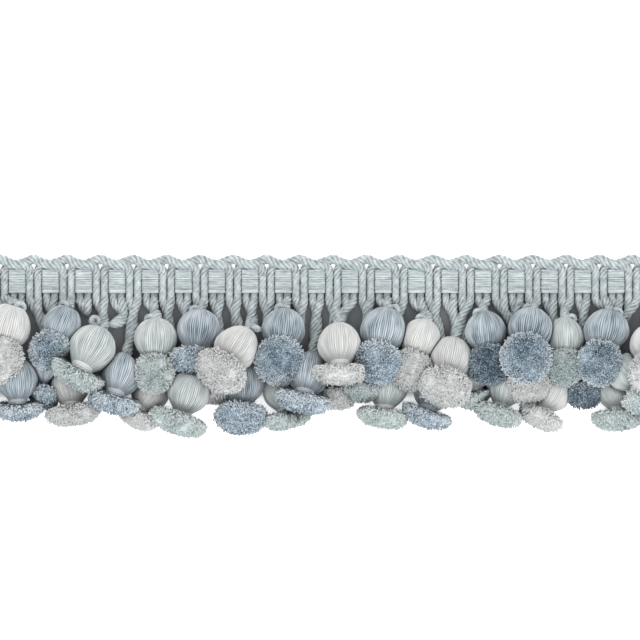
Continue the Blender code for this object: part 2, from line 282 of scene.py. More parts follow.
class Cloth:
    # gathers shapes into one piece
    def __init__(self, name):
        self.name, self.count = name, 0
        self.points, self.tints, self.corners, self.sizes, self.lays, self.coats = [], [], [], [], [], []

    def faces(self, faces, lays, coat):
        self.corners.append(faces.ravel() + self.count)
        self.sizes.append(np.full(len(faces), faces.shape[1]))
        self.lays.append(np.zeros((faces.size, 2)) if lays is None else lays.reshape(-1, 2))
        self.coats.append(np.full(len(faces), coat))

    def shape(self, points, faces, tint, coat=0):
        self.faces(faces, None, coat)
        self.add(points, tint)

    def add(self, points, tint):
        flat = points.reshape(-1, 3)
        self.points.append(flat)
        self.tints.append(np.broadcast_to(tint, points.shape[:-1]).reshape(-1))
        self.count += len(flat)

    def tubes(self, rings, tint, coat=0):
        # rings are tubes x rows x sides x 3; lay is the run along a tube and the share of a turn round it
        tubes, rows, sides = rings.shape[:3]
        index = np.arange(tubes * rows * sides).reshape(tubes, rows, sides)
        beside = np.roll(index, -1, axis=2)
        middles = rings.mean(2)
        first = rings[0, 0, 0]
        turn, step = rings[0, 0, 1] - first, rings[0, 1, 0] - first
        outward = np.cross(turn, step) @ (first - middles[0, 0])
        runs = np.linalg.norm(np.diff(middles, axis=1, prepend=middles[:, :1]), axis=2).cumsum(1)
        low = np.broadcast_to(runs[:, :-1, None], (tubes, rows - 1, sides))
        high = np.broadcast_to(runs[:, 1:, None], (tubes, rows - 1, sides))
        left = np.broadcast_to(np.arange(sides) / sides, low.shape)
        right = left + 1 / sides
        quads = np.stack([index[:, :-1], beside[:, :-1], beside[:, 1:], index[:, 1:]], -1).reshape(-1, 4)
        lays = np.stack([low, left, low, right, high, right, high, left], -1).reshape(-1, 4, 2)
        ends = np.concatenate([index[:, 0, ::-1], index[:, -1]])
        if outward < 0:
            quads, lays, ends = quads[:, ::-1], lays[:, ::-1], ends[:, ::-1]
        self.faces(quads, lays, coat)
        self.faces(ends, None, coat)
        self.add(rings, tint)

    def finish(self, materials, slot, *nodes):
        points, corners, sizes, coats, lays, tints = map(
            np.concatenate, (self.points, self.corners, self.sizes, self.coats, self.lays, self.tints))
        mesh = bpy.data.meshes.new(self.name)
        mesh.vertices.add(len(points))
        mesh.vertices.foreach_set("co", (points * mm).astype(np.float32).ravel())
        mesh.loops.add(len(corners))
        mesh.loops.foreach_set("vertex_index", corners.astype(np.int32))
        mesh.polygons.add(len(sizes))
        mesh.polygons.foreach_set("loop_start", (np.cumsum(sizes) - sizes).astype(np.int32))
        mesh.polygons.foreach_set("material_index", coats.astype(np.int32))
        mesh.update(calc_edges=True)
        mesh.shade_smooth()
        mesh.uv_layers.new(name="lay").data.foreach_set("uv", lays.astype(np.float32).ravel())
        mesh.attributes.new("tint", "FLOAT", "POINT").data.foreach_set("value", tints.astype(np.float32))
        for material in materials:
            mesh.materials.append(material)
        piece = bpy.data.objects.new(self.name, mesh)
        bpy.context.scene.collection.objects.link(piece)
        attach(piece, "root")
        if nodes:
            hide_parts(*nodes)
        return piece


def lengthOf(vectors):
    return np.linalg.norm(vectors, axis=-1, keepdims=True)


def unit(vectors):
    return vectors / lengthOf(vectors)


def around(turns, first, second, reach=1.0):
    # places round a middle, at their turns from the first direction towards the second
    return (reach * np.cos(turns))[..., None] * first + (reach * np.sin(turns))[..., None] * second


def evenTurns(count):
    return np.arange(count) * 2 * math.pi / count


def grown(values, start, end):
    # 0 up to the start and 1 from the end on, with an even slope between them
    return np.clip((values - start) / (end - start), 0, 1)


def runsAlong(line):
    return np.linalg.norm(np.diff(line, axis=0, prepend=line[:1]), axis=1).cumsum()


def smoothRun(knots, step):
    # a smooth line through the knots, whose columns may hold more than a place, in even steps
    knots = np.asarray(knots, float)
    padded = np.concatenate([2 * knots[:1] - knots[1:2], knots, 2 * knots[-1:] - knots[-2:-1]])
    t = np.linspace(0, 1, 24, endpoint=False)[:, None]
    runs = []
    for a, b, c, d in zip(padded, padded[1:], padded[2:], padded[3:]):
        squared, cubed = 2 * a - 5 * b + 4 * c - d, 3 * b - a - 3 * c + d
        runs.append(0.5 * (2 * b + (c - a) * t + squared * t**2 + cubed * t**3))
    fine = np.concatenate([*runs, knots[-1:]])
    lengths = runsAlong(fine[:, :3])
    even = np.linspace(0, lengths[-1], max(4, round(lengths[-1] / step)))
    return np.stack([np.interp(even, lengths, column) for column in fine.T], -1)


def carried(line):
    # two directions across a line, carried along it without twist, and its own direction
    ahead = unit(np.gradient(line, axis=0))
    ups = np.zeros_like(line)
    up = np.array([0.0, 0.0, 1.0]) if abs(ahead[0, 2]) < 0.9 else np.array([1.0, 0.0, 0.0])
    for i, way in enumerate(ahead):
        up = unit(up - way * (up @ way))
        ups[i] = up
    return ups, np.cross(ahead, ups), ahead


# A cord is strands laid up with a Z twist
cordMake = {
    "strands": 5, "pitch": 11.5, "columns": 4,  # columns of faces to a strand
    "seat": 0.57, "strand": 0.46,  # the strands' middles and radii as shares of the cord's radius
    "scallop": 2.22, "upright": 1.72, "plied": 2.0,  # radii, plied where two are twisted together
    "tight": 0.5,  # the creases' depth where the band holds the cord tight, as a share of elsewhere
    # tints are painted shade: darker in a crease than on a strand
    "tints": (0.22, 0.7), "evenTint": 0.55,  # crease and strand, and both where there is no crease
    "step": 0.95, "floor": 0.02,
}


def cordRings(line, radii, start=0.0):
    make = cordMake
    sides = make["strands"] * make["columns"]
    up, side, _ = carried(line)
    share = (np.arange(sides) % make["columns"]) / make["columns"] - 0.5
    off = 2 * math.pi / make["strands"] * share
    chord = np.maximum(make["strand"] ** 2 - (make["seat"] * np.sin(off)) ** 2, 0.0)
    reach = make["seat"] * np.cos(off) + np.sqrt(chord)
    reach /= reach.max()
    shallow = np.interp(radii, (make["upright"], make["plied"]), (make["tight"], 1.0))
    runs = runsAlong(line)
    turn = start + runs[:, None] * 2 * math.pi / make["pitch"] + evenTurns(sides)
    # painted shade: the tint is darker in the creases between strands, and less so where the band holds
    # the cord tight
    tint = np.interp(reach, (reach.min(), 1.0), make["tints"])
    tint = make["evenTint"] + (tint - make["evenTint"]) * shallow[:, None]
    radius = radii[:, None] * (1 - (1 - reach) * shallow[:, None])
    rings = line[:, None] + radius[..., None] * around(turn, up[:, None], side[:, None])
    rings[..., 2] = np.maximum(rings[..., 2], make["floor"])
    return rings, tint


# The heading: pairs of cords are numbered from -21 to 21. Even ones show, odd ones lie under the band.
heading = {
    "halfPitch": 7.13, "lastPair": 21, "bandTop": 5.1, "bandBottom": -5.1,
    "clearance": 0.35, "pairHalfWidth": 2.7,
    "shown": 3.2, "covered": 1.7,  # height of the cords' middle
    "apart": 1.75,  # from a pair's middle to each of its cords
}
# The bullions' outside: half widths, half a thickness, where they start below the band, stations along
# them, and those with no tassel, by pair, aside and reach
bullion = {
    "spread": 3.3, "width": 2.1, "taper": 0.22, "thick": 1.7, "start": 1.2,
    "stations": (0.0, 0.3, 0.65, 1.0),
    "bare": ((-15, 0.5, 13.0), (-13, -1.0, 12.5), (-2, 1.0, 14.0)),
}
# A tassel of unit size along its axis, from the middle of its head
tasselMake = {
    "sides": 8, "girth": 19.0,
    "head": ((-10.3, 1.7), (-6.3, 7.4), (0.2, 9.6), (5.4, 7.5)),
    "neck": (10.1, 3.9), "neckBend": 3.4,
    "tuft": ((1.4, 1.0), (5.2, 0.9), (8.8, 0.5)), "tuftMiddle": 4.3,
    "fold": 0.8,  # how far outside its head a tuft that folds back stays
}
# How the tassels settle on the surface and on one another
settling = {
    "upperDrop": 26.0, "floorSquash": 0.2, "softness": 0.28, "rises": (0, 6, 12, 18, 24),
    "step": 0.4, "widest": 27.0,
}
# pair, aside, drop, lean, face, girth, tuft, yarn, in the order in which they come to lie
tasselRows = [
    (-18, 5.5, 31, -9, 20, 16.5, 17.5, "blue"),
    (-17, 8.5, 40, 7, 10, 17, 22.5, "ivory"),
    (-10, -7, 42, -32, 5, 16.5, 19, "ivory"),
    (-7, -0.5, 30, -4, 20, 15.5, 17.5, "ivory"),
    (-4, 6.5, 42.5, 13, 5, 16, 20, "sage"),
    (0, 1.5, 33, 0, 20, 15, 16.5, "ivory"),
    (7, 9.5, 33.5, 9, 5, 15.5, 15.5, "sage"),
    (-21, -1, 38.5, -5, 0, 17, 20, "sage"),
    (-19, 0.5, 37, 2, -5, 17.5, 20, "blue"),
    (4, -5.5, 40.5, -8, 5, 17.5, 22, "sage"),
    (-9, 2.5, 42, -20, 10, 18, 24, "sage"),
    (-6, 4, 38.5, -2, 30, 18.5, 22, "blue"),
    (11, -4.5, 40, -17, 10, 16.5, 20.5, "sage"),
    (13, 1.5, 42, -29, 10, 16.5, 19.5, "ivory"),
    (15, 0.5, 31, -2, 30, 15.5, 15.5, "blue"),
    (17, 0, 41, 4, 10, 17.5, 22, "sage"),
    (20, 0, 38.5, -4, 5, 17.5, 20.5, "blue"),
    (2, -1, 31, -9, 20, 15.5, 16.5, "sage"),
    (6, 0, 42, -19, 5, 16.5, 22, "blue"),
    (10, 11.5, 29.5, 4, 45, 15.5, 18, "ivory"),
    (-1, -3.5, 34.5, -12, 5, 18.5, 22.5, "blue"),
    (-12, -5.5, 35, -16, 0, 18.5, 23, "blue"),
    (9, 1, 17, 5, 70, 17.5, 17.5, "blue"),
    (14, -1, 19, -2, 70, 16.5, 16.5, "sage"),
    (5, 1.5, 20, -19, 60, 17.5, 19, "ivory"),
    (18, -3.5, 33.5, 37, 30, 16.5, 19, "sage"),
    (-8, -0.5, 16.5, -7, 30, 18.5, 21, "blue"),
    (19, 0, 22.5, 5, 70, 18, 21, "ivory"),
    (-16, -2, 13.5, -23, 80, 16.5, 17, "blue"),
    (-20, 3.5, 14.5, -16, 80, 19.5, 21.5, "ivory"),
    (-11, 2.5, 20.5, -2, 85, 18.5, 16.5, "sage"),
    (1, -4.5, 22, 2, 5, 18.5, 24.5, "ivory"),
    (16, 2.5, 17, -13, 75, 19.5, 19, "blue"),
    (3, 0, 16, -12, 60, 19.5, 20.5, "blue"),
    (8, -7, 28, -13, 45, 18.5, 21.5, "ivory"),
    (12, -1.5, 16, -11, 80, 19, 21, "blue"),
    (-14, -3.5, 24, -27, 0, 20, 24.5, "sage"),
    (-5, -5.5, 23, -35, 40, 18.5, 22, "ivory"),
    (-3, 0, 16, -7, 80, 18.5, 20.5, "blue"),
    (21, 1, 17.5, -7, 75, 18, 18, "blue"),
]
straightDown = np.array([0.0, -1.0, 0.0])


def pairX(pair):
    return pair * heading["halfPitch"]


def heightOf(pair):
    return heading["shown" if pair % 2 == 0 else "covered"]


def flatRing(centre, along, halfWidth, halfThickness):
    side = unit(np.cross(along, (0.0, 0.0, 1.0)))
    up = unit(np.cross(side, along))
    shape = ((-1, 0), (-0.5, -1), (0.5, -1), (1, 0), (0.5, 1), (-0.5, 1))
    return np.array([centre + side * halfWidth * s + up * halfThickness * u for s, u in shape])


def bullionRun(pair, tip, tipWay, shares, back=1 / 3):
    # the middle line of a bullion from the band to its tip, the way it runs in plan and its length
    start = np.array([pairX(pair), heading["bandBottom"] - bullion["start"], heightOf(pair)])
    length = np.linalg.norm(tip - start)
    second, third = start + straightDown * length / 3, tip - tipWay * length * back
    t = np.asarray(shares)[:, None]
    s = 1 - t
    line = s**3 * start + 3 * t * s**2 * second + 3 * t * t * s * third + t**3 * tip
    ahead = s**2 * (second - start) + 2 * t * s * (third - second) + t * t * (tip - third)
    ahead[:, 2] = 0.0
    return line, unit(ahead), length


def bullionStretches(pair, tip, tipWay):
    line, ahead, length = bullionRun(pair, tip, tipWay, bullion["stations"])
    rings = []
    for t, centre, way in zip(bullion["stations"], line, ahead):
        halfWidth = max(bullion["width"], bullion["spread"] - bullion["taper"] * length * t)
        if 0 < t < 1:
            centre[2] = bullion["thick"]
        ring = flatRing(centre, way, halfWidth, bullion["thick"])
        ring[:, 2] = np.maximum(ring[:, 2], 0.0)
        rings.append(ring)
    return list(zip(rings, rings[1:]))


class Stance:
    # where a tassel's head and tuft are and which way they look
    def __init__(self, row, rise):
        self.pair, aside, drop, lean, face, girth, self.tuft, self.yarn = row
        self.upper = drop < settling["upperDrop"]
        lean, rise = math.radians(lean), math.radians(rise)
        flat = np.array([math.sin(lean), -math.cos(lean), 0.0])
        self.along = flat * math.cos(rise) + np.array([0.0, 0.0, math.sin(rise)])
        self.across = np.cross(flat, (0.0, 0.0, 1.0))
        self.up = np.cross(self.across, self.along)
        self.middle = np.array([pairX(self.pair) + aside, heading["bandBottom"] - drop, 0.0])
        self.size = girth / tasselMake["girth"]
        self.cock = math.radians(face) - rise
        self.bend = tasselMake["neckBend"] * self.size

    def turned(self, angle):
        # the place and directions where the neck has bent up by an angle
        neck = self.middle + self.along * tasselMake["neck"][0] * self.size
        place = neck + self.bend * (math.sin(angle) * self.along + (1 - math.cos(angle)) * self.up)
        ahead = math.cos(angle) * self.along + math.sin(angle) * self.up
        return place, ahead, np.cross(self.across, ahead)

    def clear(self, points):
        # the tuft folds back no further than the head
        least = (tasselMake["head"][2][1] + tasselMake["fold"]) * self.size
        off = points - self.middle
        return self.middle + off * np.maximum(1.0, least / lengthOf(off))

    def coarse(self):
        make = tasselMake
        turns = (np.arange(make["sides"]) + 0.5) * 2 * math.pi / make["sides"]

        def ring(centre, up, radius):
            return centre + radius * around(turns, self.across, up)

        middle, along, size = self.middle, self.along, self.size
        rings = [ring(middle + along * t * size, self.up, r * size) for t, r in make["head"]]
        place, _, up = self.turned(self.cock / 2)
        rings.append(ring(place, up, make["neck"][1] * size))
        place, ahead, up = self.turned(self.cock)
        for station, share in make["tuft"]:
            rings.append(self.clear(ring(place + ahead * station * size, up, share * self.tuft / 2)))
        return np.concatenate(rings), (middle, place + ahead * make["tuftMiddle"] * size)


def overlap(part, other):
    between = other["middle"] - part["middle"]
    distance = np.linalg.norm(between)
    way = between / distance
    own = float(((part["points"] - part["middle"]) @ way).max())
    others = float(((other["points"] - other["middle"]) @ -way).max())
    return own + others - distance, way, own, others


def fits(part, laid):
    for other in laid:
        if np.linalg.norm(other["middle"][:2] - part["middle"][:2]) < settling["widest"]:
            deep, _, own, others = overlap(part, other)
            if deep > settling["softness"] * (own + others):
                return False
    return True


def settled(row, laid):
    best = None
    neckRing = len(tasselMake["head"]) * tasselMake["sides"]
    ends = (slice(0, neckRing + tasselMake["sides"]), slice(neckRing, None))
    for rise in settling["rises"]:
        stance = Stance(row, rise)
        points, middles = stance.coarse()
        lift = -points[:, 2].min() * (1 - settling["floorSquash"])
        if stance.upper:
            lift += 2 * bullion["thick"]
        while True:
            raised = np.array([0.0, 0.0, lift])
            placed = points + raised
            parts = [
                {"points": placed[end], "middle": middle + raised, "pair": stance.pair}
                for end, middle in zip(ends, middles)
            ]
            if all(fits(part, laid) for part in parts):
                break
            lift += settling["step"]
        height = sum(part["middle"][2] for part in parts)
        if best is None or height < best[0]:
            stance.middle = stance.middle + raised
            best = (height, stance, parts, placed[: tasselMake["sides"]].mean(0))
    return best[1:]


# how much of an overlap the upper of two parts gives up: 0 is a head, 1 is a tuft
pressShare = {(0, 0): 0.15, (0, 1): 0.05, (1, 0): 0.6, (1, 1): 0.25}


def meetingPlanes(parts, stretches):
    planes = [[(np.array([0.0, 0.0, -1.0]), 0.0)] for _ in parts]
    for i, part in enumerate(parts):
        for j in range(i):
            other = parts[j]
            if other["pair"] == part["pair"]:
                continue
            deep, way, own, _ = overlap(part, other)
            if deep > -heading["clearance"]:
                share = pressShare[i % 2, j % 2]
                meeting = float(part["middle"] @ way) + own - deep * share
                planes[i].append((way, meeting - heading["clearance"] / 2))
                planes[j].append((-way, -meeting - heading["clearance"] / 2))
        for first, second in stretches:
            start, end = first.mean(0), second.mean(0)
            run = end - start
            share = np.clip((part["middle"] - start) @ run / (run @ run), 0.0, 1.0)
            way = unit(start + share * run - part["middle"])
            meeting = float((np.concatenate([first, second]) @ way).min()) - heading["clearance"]
            if (part["points"] @ way).max() > meeting:
                planes[i].append((way, meeting))
    return planes


def pressed(points, planes, give=0.9, most=4.5):
    # flatten points up to their planes, first softly and then fully, but never by more than most
    free = points
    for direction, reach in planes:
        beyond = points @ direction - reach
        near = np.clip(beyond + give, 0.0, 2 * give)
        push = np.where(beyond > give, beyond, near**2 / (4 * give))
        points = points - push[..., None] * direction
    for _ in range(4):
        for direction, reach in planes:
            points = points - np.maximum(points @ direction - reach, 0.0)[..., None] * direction
    moved = points - free
    points = free + moved * np.minimum(1.0, most / (lengthOf(moved) + 1e-6))
    points[..., 2] = np.maximum(points[..., 2], 0.0)
    return points


# Camera: a long lens straight above
shot = {"centre": (-5.7, -16.4), "width": 273.3, "distance": 2400.0, "sensor": 36.0, "focusHeight": 12.0}
camera = bpy.data.cameras.new("camera")
camera.sensor_width = shot["sensor"]
camera.lens = shot["sensor"] * (shot["distance"] - shot["focusHeight"]) / shot["width"]
camera.clip_end = 20.0
viewer = bpy.data.objects.new("camera", camera)
viewer.location = (shot["centre"][0] * mm, shot["centre"][1] * mm, shot["distance"] * mm)
bpy.context.scene.collection.objects.link(viewer)
bpy.context.scene.camera = viewer
print("camera made")

# Settle the tassels
stances, laid, tips = [], [], {}
for pair, aside, reach in bullion["bare"]:
    tip = np.array([pairX(pair) + aside, heading["bandBottom"] - reach, bullion["thick"]])
    tips[pair] = (tip, straightDown)
for row in tasselRows:
    stance, parts, crown = settled(row, laid)
    stances.append(stance)
    laid += parts
    tips[stance.pair] = (crown - stance.along * 0.5, stance.along)
stretches = [stretch for pair, (tip, way) in tips.items() for stretch in bullionStretches(pair, tip, way)]
planes = meetingPlanes(laid, stretches)
print("tassels settled:", len(stances))

# Bullions: the two cords of a pair twisted about one another
bullionMake = {
    "pitch": 25.0, "apart": 0.9,  # half the distance between the cords where they are twisted
    "close": 8.5, "swell": 2.5,  # lengths over which they come together and spring to their full thickness
    "straight": 1.5,  # length before the twist begins
    "drawn": 0.35, "drawnOver": 5.0,  # they draw together at the tip, to this share over about this length
    "sink": 1.6,  # how far they run into the crown
    "rounded": 1.7,  # length of a bare end's rounding
    "flat": 0.7,  # height of the twist as a share of its width
    "lift": 1.8, "knots": 26, "smooth": 3,
}
# The bullions with no tassel: aside, reach and height of the tip, how far back the last bend starts and
# the way that the tip points, in degrees from straight down
bareMake = {
    -15: (1.2, 9.6, 2.6, 0.33, 0.0),
    -13: (-3.4, 13.6, 7.0, 0.85, -76.0),
    -2: (-0.8, 14.6, 2.2, 0.33, -20.0),
}


def pliedCord(pair, side):
    # one cord of a bullion, from the band to the tip: places and radii
    tip, way = tips[pair]
    make, bare = bullionMake, pair in bareMake
    end, back = tip + way * make["sink"], 1 / 3
    if bare:
        aside, reach, high, back, lean = bareMake[pair]
        end = np.array([pairX(pair) + aside, heading["bandBottom"] - reach, high])
        way = np.array([math.sin(math.radians(lean)), -math.cos(math.radians(lean)), 0.0])
    shares = np.linspace(0, 1, make["knots"])
    line, _, length = bullionRun(pair, end, way, shares, back)
    low = bullion["thick"] + make["lift"]
    heights = (heightOf(pair), low, low, end[2] if bare else max(end[2], low))
    heights = np.pad(np.interp(shares, bullion["stations"], heights), make["smooth"], mode="edge")
    window = 2 * make["smooth"] + 1
    line[:, 2] = np.convolve(heights, np.full(window, 1 / window), mode="valid")
    runs = shares * length
    ease = grown(runs, 0, make["close"])
    ease = ease * ease * (3 - 2 * ease)
    apart = heading["apart"] * (1 - ease) + make["apart"] * ease
    apart = apart * np.clip((length - runs) / make["drawnOver"] + make["drawn"], make["drawn"], 1)
    radius = np.interp(runs, (0, make["swell"]), (cordMake["upright"], cordMake["plied"]))
    if bare:  # a rounded end
        radius = radius * np.sqrt(np.clip((length - runs + 0.1) / make["rounded"], 0.02, 1))
    turn = 2 * math.pi * np.maximum(runs - make["straight"], 0) / make["pitch"]
    turn = turn + (0 if side > 0 else math.pi)
    up, across, _ = carried(line)
    # the cords start side by side, the first towards +X
    places = line + apart[:, None] * around(turn, -across, make["flat"] * up)
    places[:, 2] = np.maximum(places[:, 2], radius * 0.9)
    return [tuple(knot) for knot in np.concatenate([places, radius[:, None]], -1)]


# The scalloped cord runs up from a shown pair, behind the next block, over the next pair and down in
# front of the block after it, into the pair beyond. Places are from the peak's pair.
scallopMake = {
    "rise": ((-12.5, 2.6, 3.0), (-12.4, 4.8, 2.7), (-11.2, 6.5, 2.4), (-7.3, 7.3, 2.3), (-3.6, 8.5, 2.8)),
    "peak": (0.0, 9.7, 3.6),
    "fall": ((3.3, 8.3, 4.3), (6.6, 7.35, 4.7), (9.5, 7.1, 4.5), (11.8, 6.0, 3.9), (12.5, 3.8, 3.4)),
    "tight": 0.25, "tightFrom": 11.0,  # it is thinner where it turns down between the blocks
    "uprights": (0.8, -2.0, -4.8),  # down the heading
}
# A covered cord is tucked in past the band's upper edge: inwards, along the heading, lower and radius
coveredMake = {"tuck": (0.5, 6.6, 0.2, 1.3), "uprights": (5.0, 0.0, -4.6)}


def downKnots(pair, side, make):
    # down the heading and on along the bullion
    x, height, radius = pairX(pair) + side * heading["apart"], heightOf(pair), cordMake["upright"]
    return [(x, y, height, radius) for y in make["uprights"]] + pliedCord(pair, side)


def cordThrough(cloth, knots):
    line = smoothRun(knots, cordMake["step"])
    rings, tint = cordRings(line[:, :3], line[:, 3], start=line[0, 0])
    cloth.tubes(rings[None], tint[None])


def scallopKnots(peak):
    # between the pairs at either side of a peak, cut off at the ends of the fringe
    make, edge, knots = scallopMake, pairX(heading["lastPair"]) + heading["pairHalfWidth"], []
    for x, y, z in (*make["rise"], make["peak"], *make["fall"]):
        if abs(pairX(peak) + x) <= edge:
            radius = cordMake["scallop"] - make["tight"] * (abs(x) > make["tightFrom"])
            knots.append((pairX(peak) + x, y, z, radius))
    return knots


last = heading["lastPair"]
shownPairs = range(1 - last, last, 2)
coveredPairs = range(-last, last + 1, 2)
headingCord = Cloth("heading_cords")
for peak in range(-1 - last, last + 2, 2):
    knots = scallopKnots(peak)
    if peak - 2 in shownPairs:
        knots = downKnots(peak - 2, 1, scallopMake)[::-1] + knots
    if peak + 2 in shownPairs:
        knots = knots + downKnots(peak + 2, -1, scallopMake)
    cordThrough(headingCord, knots)
# the first and last shown pairs' outer cords come from the cut ends
coveredCord = Cloth("covered_cords")
for pair in coveredPairs:
    for side in (-1, 1):
        inwards, y, lower, radius = coveredMake["tuck"]
        knots = downKnots(pair, side, coveredMake)
        tuck = (knots[0][0] - side * inwards, y, knots[0][2] - lower, radius)
        cordThrough(coveredCord, [tuck, *knots])
cordMaterial = cordFinish()
cords = [cloth.finish([cordMaterial], "cord", "cord_fringe") for cloth in (headingCord, coveredCord)]
print("cords laid:", [len(piece.data.polygons) for piece in cords])

# The band: flattened threads side by side, over each covered pair and under each pair that shows
bandMake = {
    "threads": 14, "halfWidth": 0.4, "halfThickness": 0.26, "sides": 5, "step": 0.8, "raised": 0.25,
    "weave": 0.05, "crossing": 1.6,  # a thread's rise and fall over the ones it crosses and their distance
    "astray": 0.05, "floor": 0.03, "ends": 3.2,  # the ends lie this far outside the last pairs' middles
    # from a covered pair's middle: x and height
    "over": ((-3.6, 0.6), (-3.52, 2.4), (-3.42, 3.9), (-3.05, 4.4), (0.0, 4.45),
             (3.05, 4.4), (3.42, 3.9), (3.52, 2.4), (3.6, 0.6)),
    # a thread's tint, and how much it changes: on top (painted light, with painted shade beneath), along
    # its run, between threads, at the edge (a painted highlight on the last thread)
    "tint": 0.42, "top": 0.2, "uneven": 0.07, "differ": 0.05, "edge": 0.08,
}


def bandThreads(cloth):
    make, farthest = bandMake, pairX(last) + bandMake["ends"]
    knots = [(pairX(pair) + x, 0.0, z) for pair in coveredPairs for x, z in make["over"]]
    line = smoothRun([(max(-farthest, min(farthest, x)), y, z) for x, y, z in knots][2:-2], make["step"])
    ahead = unit(np.gradient(line, axis=0))
    up = np.stack([-ahead[:, 2], 0 * ahead[:, 0], ahead[:, 0]], -1)
    broad, thick = make["halfWidth"] * np.cross(ahead, up)[:, None], make["halfThickness"] * up[:, None]
    spacing = (heading["bandTop"] - heading["bandBottom"]) / make["threads"]
    turns = evenTurns(make["sides"])
    rng = np.random.default_rng(seeds["band"])
    shift = rng.normal(0, make["astray"], make["threads"])
    for thread in range(make["threads"]):
        final = thread == make["threads"] - 1
        y = heading["bandTop"] + make["raised"] - spacing * (thread + 0.5) + shift[thread]
        wave = make["weave"] * np.cos(2 * math.pi * line[:, 0] / (2 * make["crossing"]) + math.pi * thread)
        centre = line + np.array([0.0, y, 0.0]) + wave[:, None] * up
        rings = centre[:, None] + around(turns, broad, thick)
        rings[..., 2] = np.maximum(rings[..., 2], make["floor"])
        slack = smoothRun([(x, 0, 0, v) for x, v in enumerate(rng.normal(0, 1, 120))], 1.0)[:, 3]
        uneven = np.interp(line[:, 0], np.linspace(line[0, 0], line[-1, 0], len(slack)), slack)
        # painted light and shade: each thread is lighter on top and darker beneath, and the last one
        # carries a painted highlight
        tint = make["tint"] + make["top"] * np.sin(turns)[None] + make["uneven"] * uneven[:, None]
        tint = tint + make["differ"] * rng.normal() + (make["edge"] if final else 0.0)
        cloth.tubes(rings[None], np.broadcast_to(tint, rings.shape[:2])[None])
    return runsAlong(line)[-1]


bandCloth = Cloth("band_threads")
bandLength = bandThreads(bandCloth)
band = bandCloth.finish([bandFinish()], "band", "woven_band")
bandLength * mm
print("band woven:", len(band.data.polygons))

# Tassels, numbered in the order in which they come to lie
headMake = {
    "yarns": 62,
    "columns": (0.0, 0.27, 0.73),  # a yarn's valley and its two shoulders, as shares of its width
    "valley": -1.0, "shoulder": 0.6, "ridge": 0.024,  # how deep and high they are, and the scale of it
    "gap": 1.5, "gapsFrom": 0.85,  # how much deeper a valley is where a yarn has come away
    "profile": ((-10.7, 0.6), (-10.2, 2.3), (-9.3, 4.2), (-7.9, 6.0), (-6.0, 7.6), (-3.4, 8.9),
                (-0.6, 9.55), (2.0, 9.35), (4.4, 8.3), (6.5, 6.7), (7.8, 5.4), (9.1, 4.35), (10.6, 4.0)),
    "step": 1.45, "lumps": 0.012, "wander": 0.025,
    # tassel: how far the fullest part of its head is moved towards the neck
    "fuller": {31: -1.6, 27: -0.9, 37: -0.7, 38: 1.6, 32: 0.5, 34: 0.6, 35: 0.5, 22: -0.5},
    "otherwise": 0.7,
    "tint": 0.56, "differ": 0.06, "drift": 0.03,
    # painted shade: the valleys between yarns are tinted darker
    "valleyShade": (0.2, 0.38),  # how much darker a valley is, for any yarn and by its spread
}
tieMake = {
    "columns": 20, "winds": 4, "radius": 4.6, "swell": 0.08, "start": -2.9, "end": 1.1,
    "closed": 0.8,  # radius of its two ends, as a share
    "folded": 0.6, "shortened": 0.5,  # past this bend the binding is only so long
    # painted light: the binding is tinted lighter than the head, and top is a painted highlight on each
    # wind's crest, with painted shade between the winds
    "tint": 0.64, "top": 0.36, "differ": 0.05,
}
tuftMake = {
    # a tuft's outside: angle from its middle line, distance ahead and share of its half width
    "core": ((0, 8.4, 0.0), (25, 8.2, 0.40), (45, 7.5, 0.67), (58, 6.4, 0.83), (68, 5.1, 0.92),
             (78, 3.7, 0.97), (88, 2.4, 0.98), (98, 1.6, 0.91), (110, 1.3, 0.78), (124, 1.1, 0.60),
             (140, 0.8, 0.45), (160, 0.1, 0.26), (180, -1.0, 0.0)),
    "rough": 0.25, "lumps": 0.05, "sunk": 0.3,  # the core lies under its strands
    "face": 1600, "skirt": 800, "clumps": 24, "astray": 0.22,
    "thick": 0.32, "long": 4.5, "shortest": 1.5, "stray": 0.35,
    "reach": 1.5, "inside": {"face": 0.4, "skirt": 0.1},  # how far out or in their ends are
    "faceEdge": 86, "rim": (66, 94), "neck": (138, 152),  # where the strands end, and the skirt's begin
    "loose": 1.4,  # how far single strands may pass the place where their tuft meets another
    # tassels whose tufts are tinted darker, and by how much; a value below 0 tints them lighter
    "deep": {23: 0.26, 15: 0.3, 31: -0.14, 30: -0.1, 29: -0.08, 34: -0.06, 14: -0.05, 6: 0.1, 2: 0.1},
    # painted shade at the strands' roots inside the tuft, and a little painted light at their cut ends
    "rootShade": {"face": -0.75, "skirt": -0.4}, "tips": 0.05,
}
# the core starts as a ball
bpy.ops.object.select_all(action="DESELECT")
bpy.ops.mesh.primitive_ico_sphere_add(subdivisions=4, radius=1.0)
sphere = bpy.context.object
ballPoints = np.array([tuple(v.co) for v in sphere.data.vertices])
ballFaces = np.array([tuple(p.vertices) for p in sphere.data.polygons])
bpy.data.objects.remove(sphere)


def wavesRound(rng, angles, count, highest):
    # a smooth random pattern round a turn, about -1 to 1
    total = np.zeros_like(angles)
    for _ in range(count):
        total += rng.normal() * np.cos(rng.integers(1, highest + 1) * angles + rng.uniform(0, 2 * math.pi))
    return total / math.sqrt(count)


